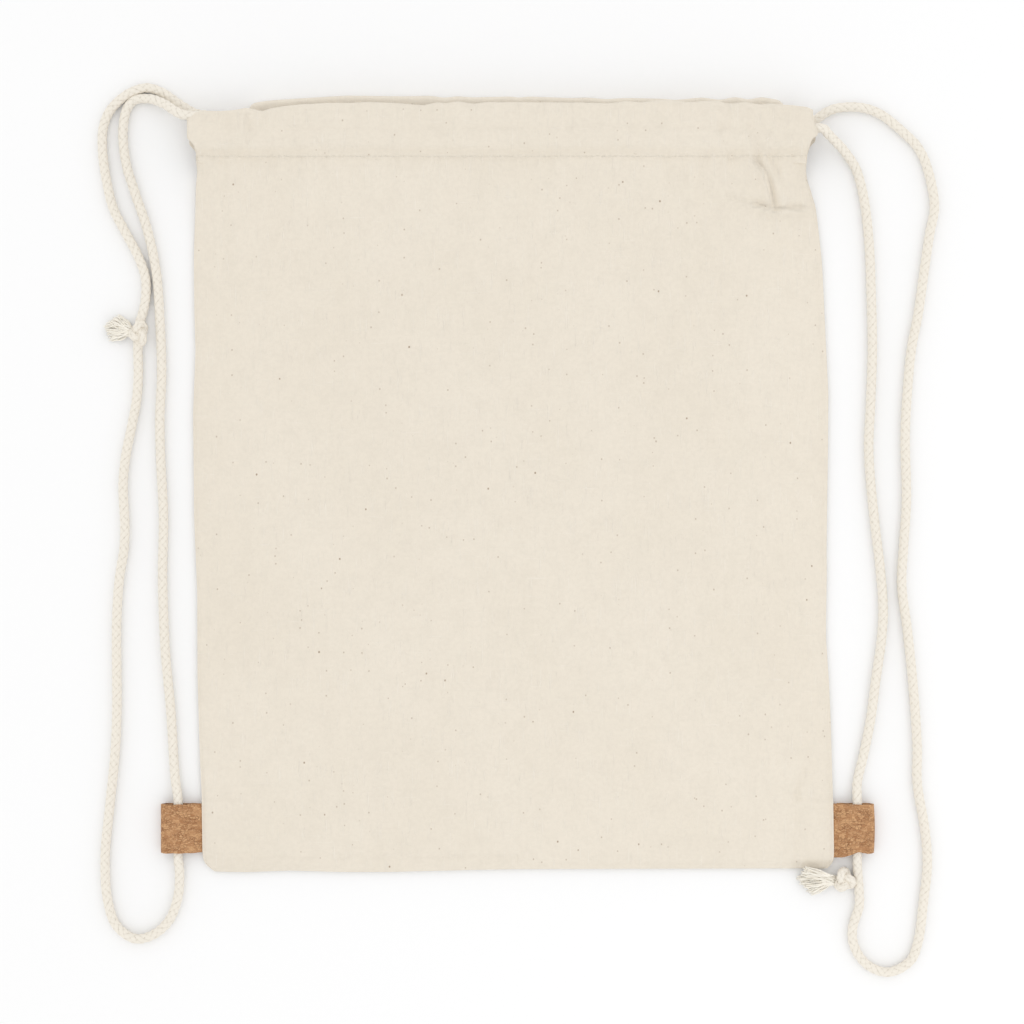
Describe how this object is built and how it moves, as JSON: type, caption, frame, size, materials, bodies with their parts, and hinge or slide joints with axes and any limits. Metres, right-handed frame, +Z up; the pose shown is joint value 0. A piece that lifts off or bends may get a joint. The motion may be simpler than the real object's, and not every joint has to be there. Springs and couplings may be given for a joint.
{
  "type": "drawstring backpack",
  "caption": "Flat cotton drawstring backpack with a channelled mouth, braided cord straps knotted through folded cork tabs at the bottom corners.",
  "frame": {"origin": "middle of the bag's underside, measured with its cork tabs and without its cords", "axes": "+X to the bag's right, +Y towards the mouth, +Z up from the table on which the bag lies"},
  "size_m": [0.4684, 0.4966, 0.0181],
  "materials": {
    "cotton": "natural unbleached plain-weave cotton with slubs and small seed specks, matt",
    "lining_edge": "the same cotton's raw seam allowances, overlocked, matt",
    "thread": "cream cotton sewing thread, matt",
    "cord": "off-white braided cotton cord, soft and matt",
    "cork": "thin cork skin on a cloth backing, warm brown with darker and lighter flecks, low sheen"
  },
  "bodies": {
    "bag_back": {"back_panel": "cotton", "back_channel": "cotton", "left_side_seam": "lining_edge", "right_side_seam": "lining_edge", "bottom_seam": "lining_edge", "back_hem_stitching": "thread", "left_cord_back_run": "cord", "left_cord_far_turn": "cord", "left_cord_corner_bend": "cord", "right_cord_back_run": "cord", "right_cord_far_turn": "cord", "right_cord_corner_bend": "cord", "right_knot": "cord", "right_cord_tail_a": "cord", "right_cord_tail_b": "cord"},
    "bag_front": {"front_panel": "cotton", "front_channel": "cotton", "front_hem_stitching": "thread", "left_cord_front_run": "cord", "right_cord_front_run": "cord"},
    "left_strap": {"left_cork_tab": "cork", "left_cord_outer_leg": "cord", "left_cord_inner_leg": "cord", "left_knot": "cord", "left_cord_tail_a": "cord", "left_cord_tail_b": "cord"},
    "right_strap": {"right_cork_tab": "cork", "right_cord_outer_leg": "cord", "right_cord_inner_leg": "cord"}
  },
  "joints": [
    {"name": "mouth_open", "type": "hinge", "parent": "bag_back", "child": "bag_front", "pos_m": [0, -0.2155, 0.0026], "axis": [1, 0, 0], "range_deg": [0, 8]},
    {"name": "left_strap_lift", "type": "hinge", "parent": "bag_back", "child": "left_strap", "pos_m": [-0.186, 0.205, 0.0054], "axis": [-0.0263, 0.9997, 0], "range_deg": [0, 90]},
    {"name": "right_strap_lift", "type": "hinge", "parent": "bag_back", "child": "right_strap", "pos_m": [0.1695, 0.2, 0.0054], "axis": [0.0171, -0.9999, 0], "range_deg": [0, 90]}
  ]
}
